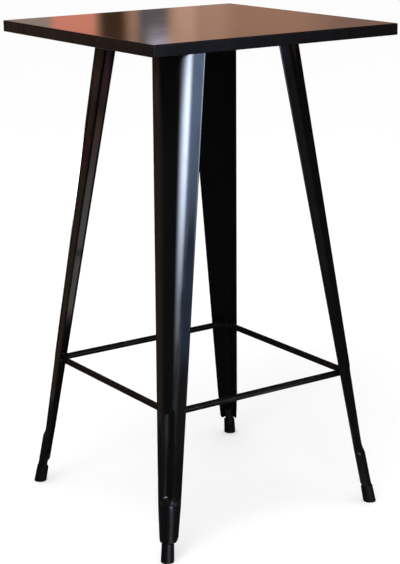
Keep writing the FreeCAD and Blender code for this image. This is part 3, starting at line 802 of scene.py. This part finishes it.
footSpots = footPlaces(footSizes)
repeatPiece("ankle_stubs", makeStub(footSizes), footSpots, "frame_paint",
            [f"foot_stub_{corner}" for corner in cornerTurns])
repeatPiece("rubber_feet", makeCap(footSizes), footSpots, "foot_rubber",
            [f"foot_cap_{corner}" for corner in cornerTurns])
print("feet pushed on")


# the studio: a pale floor, white surroundings and cards that only reflections see

def seenRay(bench):
    path = bench.tree.nodes.new("ShaderNodeLightPath")
    seen = Wire(bench, path.outputs["Is Camera Ray"]) + Wire(bench, path.outputs["Is Glossy Ray"])
    return seen + Wire(bench, path.outputs["Is Transmission Ray"])


floorSizes = {
    "half": 40.0, "lift": 0.24, "pale": (0.87, 0.87, 0.87, 1), "dull": (0.86, 0.86, 0.86, 1),
    "cloudSize": 0.4,
}


def makeFloor(sizes):
    half = sizes["half"]
    corners = [(-half, -half, 0), (half, -half, 0), (half, half, 0), (-half, half, 0)]
    mesh = bpy.data.meshes.new("studio_floor")
    mesh.from_pydata(corners, [], [(0, 1, 2, 3)])
    floor = bpy.data.objects.new("studio_floor", mesh)
    scene.collection.objects.link(floor)
    material, bench = newFinish("studio_floor_pale")
    tone = blendColour(bench, grain(bench, sizes["cloudSize"]), sizes["pale"], sizes["dull"])
    matt = bench.add("ShaderNodeBsdfDiffuse", None, {"Color": tone})
    strength = seenRay(bench) * sizes["lift"]
    lift = bench.add("ShaderNodeEmission", None, {"Color": (1, 1, 1, 1), "Strength": strength})
    both = bench.add("ShaderNodeAddShader", None, {0: matt, 1: lift})
    # clear from below, to show the underside
    below = bench.add("ShaderNodeNewGeometry", None, None, "Backfacing")
    clear = bench.add("ShaderNodeBsdfTransparent")
    shown = bench.add("ShaderNodeMixShader", None, {0: below, 1: both, 2: clear})
    bench.add("ShaderNodeOutputMaterial", None, {"Surface": shown})
    mesh.materials.append(material)


# helpers for the cards: each point of a card holds how it glows and how much it covers

def makeCardMaterial():
    material, bench = newFinish("studio_card")
    glow = bench.add("ShaderNodeAttribute", {"attribute_name": "glow"}, None, "Color")
    light = bench.add("ShaderNodeEmission", None, {"Color": glow, "Strength": 1.0})
    clear = bench.add("ShaderNodeBsdfTransparent")
    both = bench.add("ShaderNodeMixShader", None, {0: mark(bench, "cover"), 1: clear, 2: light})
    bench.add("ShaderNodeOutputMaterial", None, {"Surface": both})
    return material


cardMaterial = makeCardMaterial()
legPlace = (-0.15, -0.19)  # the front leg, whose shine the wall and the window are set for
cardBlack = (0.004, 0.0035, 0.0035)
wallTan = (0.50, 0.27, 0.18)


def hangCard(name, points, glow, cover, loop=False):
    rows, columns = points.shape[:2]
    mesh = bpy.data.meshes.new(name)
    mesh.from_pydata([tuple(point) for point in points.reshape(-1, 3)], [], skin(rows, columns, loop))
    colour = np.concatenate([glow.reshape(-1, 3), np.ones((rows * columns, 1))], 1).astype(np.float32)
    mesh.attributes.new("glow", "FLOAT_COLOR", "POINT").data.foreach_set("color", colour.ravel())
    mesh.attributes.new("cover", "FLOAT", "POINT").data.foreach_set("value", cover.astype(np.float32).ravel())
    mesh.materials.append(cardMaterial)
    card = bpy.data.objects.new(name, mesh)
    scene.collection.objects.link(card)
    card.visible_camera = False
    card.visible_diffuse = False
    card.visible_shadow = False


def roundPoints(reach, turn, level, middle=(0, 0)):
    angle = np.radians(turn)
    x = middle[0] + reach * np.cos(angle)
    y = middle[1] + reach * np.sin(angle)
    return np.stack(np.broadcast_arrays(x, y, level), 2)


def turnFrom(place, points):
    return np.degrees(np.arctan2(points[..., 1] - place[1], points[..., 0] - place[0])) % 360


def tint(colour, cover):
    return cover[..., None] * np.array(colour)


def blendGlow(glow, colour, cover):
    return glow * (1 - cover[..., None]) + tint(colour, cover)


# the wall all round: dark below, tan above, with a warm patch, and panels that the top reflects

wallSizes = {
    "radius": 3.65, "top": 3.0, "fade": 2.6, "dark": (0.006, 0.005, 0.005), "tan": wallTan,
    # where the tan part starts, and how much higher on the left
    "upper": 1.08, "upperFade": 0.12, "leftRise": 0.75, "leftTurns": (118, 134, 222, 226),
    "warm": (1.5, 0.85, 0.62), "warmTurn": 127, "warmSpread": 22.0,
    "warmLevels": (0.2, 0.4, 0.76, 0.88), "faintLevels": (0.76, 0.88, 1.05, 1.1), "faint": 0.15,
    "eyeDistance": 3.35, "eyeTurn": 55.9,
    # upright panels behind the table: left, right and softness in mm aside per metre from the eye, colour
    "panels": [
        (-177.8, -90.8, 3.2, (0.44, 0.33, 0.28)), (-90.8, -62.9, 3.2, (0.98, 0.34, 0.23)),
        (-61.0, -43.8, 4.4, (0.06, 0.03, 0.015)), (-36.2, -17.8, 3.8, (0.14, 0.125, 0.13)),
        (-14.0, 1.9, 5.1, (0.76, 0.45, 0.32)), (1.9, 20.3, 6.3, (0.60, 0.35, 0.24)),
        (79.4, 171.4, 15.9, (0.33, 0.19, 0.145)),
    ],
    "glint": (-30.5, -16.5, 5.1, (0.7, 0.62, 0.75)), "glintLevels": (1.485, 1.53),
    "pane": (9.0, 9.6, 10.5), "paneTurns": (70, 76, 92, 98), "paneLevels": (0.02, 0.12, 0.25, 0.4),
    "opening": (223, 225, 311, 314),  # left clear for the tall window
}


def panelCover(panel, aside):
    left, right, soft, _ = panel
    return hump(left - soft, left + soft, right - soft, right + soft, aside)


def wallGlow(points, sizes):
    x, y, level = np.moveaxis(points, 2, 0)
    turn = turnFrom(legPlace, points)
    start = sizes["upper"] + sizes["leftRise"] * hump(*sizes["leftTurns"], turn)
    upper = smoothStep(start, start + sizes["upperFade"], level)
    warm = hump(*sizes["warmLevels"], level) + sizes["faint"] * hump(*sizes["faintLevels"], level)
    warm = warm * np.exp(-((turn - sizes["warmTurn"]) / sizes["warmSpread"]) ** 2)
    glow = blendGlow(np.full(points.shape, sizes["dark"]), sizes["warm"], warm)
    glow = blendGlow(glow, sizes["tan"], upper)
    eye = math.radians(sizes["eyeTurn"])
    depth = sizes["eyeDistance"] + x * math.cos(eye) + y * math.sin(eye)
    aside = 1000 * (x * math.sin(eye) - y * math.cos(eye)) / np.maximum(depth, 1)
    behind = depth > sizes["eyeDistance"]
    for panel in sizes["panels"]:
        glow = blendGlow(glow, panel[3], panelCover(panel, aside) * upper * behind)
    glint = panelCover(sizes["glint"], aside) * smoothStep(*sizes["glintLevels"], level) * behind
    pane = hump(*sizes["paneTurns"], turn) * hump(*sizes["paneLevels"], level)
    return glow + tint(sizes["glint"][3], glint) + tint(sizes["pane"], pane)


def makeWall(sizes):
    # closer steps where the top and the front leg reflect it
    turns = [np.arange(0, 360, 2.0), np.arange(36, 76, 0.25), np.arange(220, 316, 0.5)]
    levels = [np.arange(0, 1.0, 0.1), np.arange(1.0, 2.0, 0.03), np.arange(2.0, sizes["top"], 0.1)]
    turn, level = np.meshgrid(np.unique(np.concatenate(turns)), np.concatenate(levels))
    points = roundPoints(sizes["radius"], turn, level)
    cover = 1 - smoothStep(sizes["fade"], sizes["top"] - 0.1, level)
    cover = cover * (1 - hump(*sizes["opening"], turnFrom(legPlace, points)))
    hangCard("room_wall", points, wallGlow(points, sizes), cover, loop=True)


ceilingSizes = {"reach": 6.0, "height": 3.4, "tone": (0.22, 0.145, 0.105)}


def makeCeiling(sizes):
    turn, share = np.meshgrid(np.arange(0, 360, 10), np.linspace(0.01, 1, 8))
    points = roundPoints(sizes["reach"] * share, turn, sizes["height"])
    hangCard("warm_ceiling", points, np.full(points.shape, sizes["tone"]), np.ones(turn.shape), loop=True)


# a tall window to the right of the camera, far off, which lights the front leg's bend and right flat

windowSizes = {
    "distance": 9.0, "top": 6.0, "fade": (4.8, 5.8), "head": (2.15, 2.95), "least": 0.004,
    "core": (48.0, 55.0, 68.0), "coreTurns": (228, 270, 271, 294), "coreLevels": (0.22, 1.95),
    "side": (4.5, 6.2, 9.8), "sideTurns": (284, 291, 305, 308), "sideLevels": (0.1, 0.3),
    "sideLeast": 0.3, "sideFull": 1.15,
    "tan": wallTan, "tanLevels": (2.7, 3.0),
}


def makeWindow(sizes):
    levels = [np.arange(0, 3.0, 0.06), np.arange(3.0, sizes["top"] + 0.1, 0.25)]
    turn, level = np.meshgrid(np.arange(222, 315.1, 0.5), np.concatenate(levels))
    lit = 1 - smoothStep(*sizes["head"], level)
    core = hump(*sizes["coreTurns"], turn) * smoothStep(*sizes["coreLevels"], level) * lit
    side = hump(*sizes["sideTurns"], turn) * smoothStep(*sizes["sideLevels"], level) * lit
    least = sizes["sideLeast"]
    side = side * (least + (1 - least) * np.minimum(1, level / sizes["sideFull"]))
    above = smoothStep(*sizes["tanLevels"], level)
    glow = sizes["least"] + tint(sizes["core"], core) + tint(sizes["side"], side) + tint(sizes["tan"], above)
    points = roundPoints(sizes["distance"], turn, level, legPlace)
    hangCard("tall_window", points, glow, 1 - smoothStep(*sizes["fade"], level))


# dark cards round the foot of the table and a dark mat under it, which keep the black paint black

anyLevel = (-2, -1, 8, 9)
sillTurns = (246, 248, 262, 263)
flagSizes = {
    "radius": 1.25, "dark": cardBlack, "fade": (0.86, 1.0),
    # how high the cards stand, by turn round the table
    "turns": [0, 72, 80, 96, 104, 222, 232, 246, 248, 262, 264, 299, 300, 325, 345, 360],
    "tops": [0.98, 0.98, 0.2, 0.2, 0.98, 0.98, 0.2, 0.2, 0.36, 0.36, 0.27, 0.27, 1.2, 1.2, 0.98, 0.98],
    # lighter patches: turns, levels, colour. The last two are a sill and a shelf
    "patches": [
        ((116, 122, 150, 185), anyLevel, (0.27, 0.16, 0.09)),
        ((262, 264, 296, 299), anyLevel, (0.15, 0.15, 0.15)),
        ((303, 304.5, 309, 311), (0.3, 0.5, 8, 9), (0.15, 0.15, 0.15)),
        ((117, 121, 128, 132), (0.6, 0.66, 0.75, 0.81), (0.38, 0.09, 0.07)),
        (sillTurns, anyLevel, (1.0, 0.97, 0.95)),
        (sillTurns, (0.12, 0.18, 8, 9), (0.6, 0.6, 0.68)),
    ],
    "gapLevels": (0.082, 0.1, 0.2, 0.225),  # between the sill and the shelf
    # a slot that leans as the flange's view of the board does, in degrees aside per metre up
    "slotTurn": 300.75, "slotLean": 3.2, "slotTurns": (-1.3, -0.9, 0.7, 1.1),
    "slotLevels": (0.02, 0.08, 0.56, 0.62),
}


def makeFlags(sizes):
    turns = np.unique(np.concatenate([np.arange(0, 360, 0.5), np.arange(299, 304, 0.1).round(1)]))
    turn, share = np.meshgrid(turns, np.linspace(0, 1, 24))
    level = np.interp(turn, sizes["turns"], sizes["tops"]) * share
    points = roundPoints(sizes["radius"], turn, level)
    glow = np.full(points.shape, sizes["dark"])
    for patchTurns, patchLevels, colour in sizes["patches"]:
        glow = blendGlow(glow, colour, hump(*patchTurns, turn) * hump(*patchLevels, level))
    aside = turn - sizes["slotTurn"] - sizes["slotLean"] * level
    slot = hump(*sizes["slotTurns"], aside) * hump(*sizes["slotLevels"], level)
    gap = hump(*sillTurns, turn) * hump(*sizes["gapLevels"], level)
    cover = (1 - smoothStep(*sizes["fade"], share)) * (1 - slot) * (1 - gap)
    hangCard("dark_flags", points, glow, cover, loop=True)


matSizes = {
    "level": 0.002, "dark": cardBlack, "cover": 0.97, "fade": 0.13,
    "radius": 1.3, "longRadius": 2.6, "longTurns": (226, 232, 303, 308),  # longer towards the window
}


def makeMat(sizes):
    turn, share = np.meshgrid(np.arange(0, 360, 1.5), np.linspace(0.002, 1, 60))
    reach = sizes["longRadius"] * share
    longer = (sizes["longRadius"] - sizes["radius"]) * hump(*sizes["longTurns"], turn)
    edge = sizes["radius"] + longer
    points = roundPoints(reach, turn, sizes["level"])
    cover = sizes["cover"] * (1 - smoothStep(edge - sizes["fade"], edge, reach))
    hangCard("dark_mat", points, np.full(points.shape, sizes["dark"]), cover, loop=True)


# beyond the mat the floor shines: dim nearby, pale further off, and blue from the window on the right

sheenSizes = {
    "level": 0.003, "turns": (250, 258, 312, 320), "reach": (2.4, 2.6, 8.6, 8.9),
    "near": 0.22, "far": (1.7, 1.8, 2.1), "farReach": (4.6, 6.0),
    "blue": (0.55, 0.85, 1.7), "blueTurns": (284, 293),
}


def makeSheen(sizes):
    turn, reach = np.meshgrid(np.arange(250, 322, 1.5), np.linspace(2.4, 8.9, 27))
    points = roundPoints(reach, turn, sizes["level"])
    glow = sizes["near"] + tint(sizes["far"], smoothStep(*sizes["farReach"], reach))
    glow = blendGlow(glow, sizes["blue"], smoothStep(*sizes["blueTurns"], turn))
    hangCard("floor_sheen", points, glow, hump(*sizes["turns"], turn) * hump(*sizes["reach"], reach))


# a pale board that shows inside the left leg's far flange

boardSizes = {
    "start": (0.0293, -0.1374), "turn": 303.5, "height": 0.12, "length": 2.8, "width": 0.05,
    "ends": (0.06, 0.16, 2.4, 2.8),
    # its colour, from the near end to the far one
    "steps": [1.1, 1.4, 1.75, 2.25],
    "red": [3.1, 3.2, 2.7, 1.9], "green": [2.8, 2.3, 1.4, 0.65], "blue": [2.75, 2.0, 1.1, 0.55],
}


def makeBoard(sizes):
    along, aside = np.meshgrid(np.linspace(0, sizes["length"], 57), np.linspace(-3, 3, 25) * sizes["width"])
    line = math.radians(sizes["turn"])
    x = sizes["start"][0] + along * math.cos(line) + aside * math.sin(line)
    y = sizes["start"][1] + along * math.sin(line) - aside * math.cos(line)
    points = np.stack([x, y, np.full(x.shape, sizes["height"])], 2)
    glow = np.stack([np.interp(along, sizes["steps"], sizes[part]) for part in ("red", "green", "blue")], 2)
    cover = np.exp(-(aside / sizes["width"]) ** 2) * hump(*sizes["ends"], along)
    hangCard("pale_board", points, glow, cover)


# a dark card before the back leg's open side, with the leg's lean, and a small one that tames the front
# knee's glint

screenSizes = {
    "line": 0.486, "lean": -0.235, "left": -0.03, "right": 0.5, "low": 0.06, "high": 1.03, "tone": 0.004,
}
dotSizes = {"line": -0.364, "left": -0.258, "right": -0.19, "low": 0.12, "high": 0.185, "tone": 0.004}


def makeScreen(sizes):
    x, level = np.meshgrid(np.linspace(sizes["left"], sizes["right"], 9), [sizes["low"], sizes["high"]])
    points = np.stack([x, sizes["line"] + sizes["lean"] * level - x, level], 2)
    hangCard("back_leg_screen", points, np.full(points.shape, sizes["tone"]), np.ones(x.shape))


def makeDot(sizes):
    x, level = np.meshgrid([sizes["left"], sizes["right"]], [sizes["low"], sizes["high"]])
    points = np.stack([x, np.full(x.shape, sizes["line"]), level], 2)
    hangCard("knee_dot", points, np.full(points.shape, sizes["tone"]), np.ones(x.shape))


# white surroundings, which light the pieces a little less than they show, and a soft light

worldSizes = {"light": 0.85}
keySizes = {"size": 2.2, "energy": 40, "place": (-1.6, -1.2, 3.4), "aim": (0, 0, 0.4)}


def makeWorld(sizes):
    world = bpy.data.worlds.new("white_studio")
    scene.world = world
    world.use_nodes = True
    world.node_tree.nodes.clear()
    bench = Bench(world.node_tree)
    strength = sizes["light"] + seenRay(bench) * (1 - sizes["light"])
    background = bench.add("ShaderNodeBackground", None, {"Color": (1, 1, 1, 1), "Strength": strength})
    bench.add("ShaderNodeOutputWorld", None, {"Surface": background})


def makeKeyLight(sizes):
    light = bpy.data.lights.new("soft_key", "AREA")
    light.shape = "DISK"
    light.size = sizes["size"]
    light.energy = sizes["energy"]
    key = bpy.data.objects.new("soft_key", light)
    scene.collection.objects.link(key)
    key.location = sizes["place"]
    key.rotation_euler = (Vector(sizes["aim"]) - key.location).to_track_quat("-Z", "Y").to_euler()
    key.visible_camera = False
    key.visible_glossy = False


# the camera fitted to the photo

eyeSizes = {
    "place": (-1.8785, -2.7750, 1.4027), "forward": (0.5414, 0.7989, -0.2621),
    "right": (0.8278, -0.5610, 0.0), "roll": -0.0123, "lens": 100.54, "sensor": 36.0,
}


def makeCamera(sizes):
    forward = Vector(sizes["forward"]).normalized()
    right = Vector(sizes["right"]).normalized()
    up = right.cross(forward).normalized()
    roll = sizes["roll"]
    across = right * math.cos(roll) + up * math.sin(roll)
    upright = up * math.cos(roll) - right * math.sin(roll)
    data = bpy.data.cameras.new("eye")
    data.lens = sizes["lens"]
    data.sensor_width = sizes["sensor"]
    eye = bpy.data.objects.new("eye", data)
    scene.collection.objects.link(eye)
    turn = Matrix((across, upright, -forward)).transposed().to_4x4()
    eye.matrix_world = Matrix.Translation(Vector(sizes["place"])) @ turn
    scene.camera = eye


makeFloor(floorSizes)
makeWall(wallSizes)
makeCeiling(ceilingSizes)
makeWindow(windowSizes)
makeFlags(flagSizes)
makeMat(matSizes)
makeSheen(sheenSizes)
makeBoard(boardSizes)
makeScreen(screenSizes)
makeDot(dotSizes)
makeWorld(worldSizes)
makeKeyLight(keySizes)
makeCamera(eyeSizes)
print("studio set")
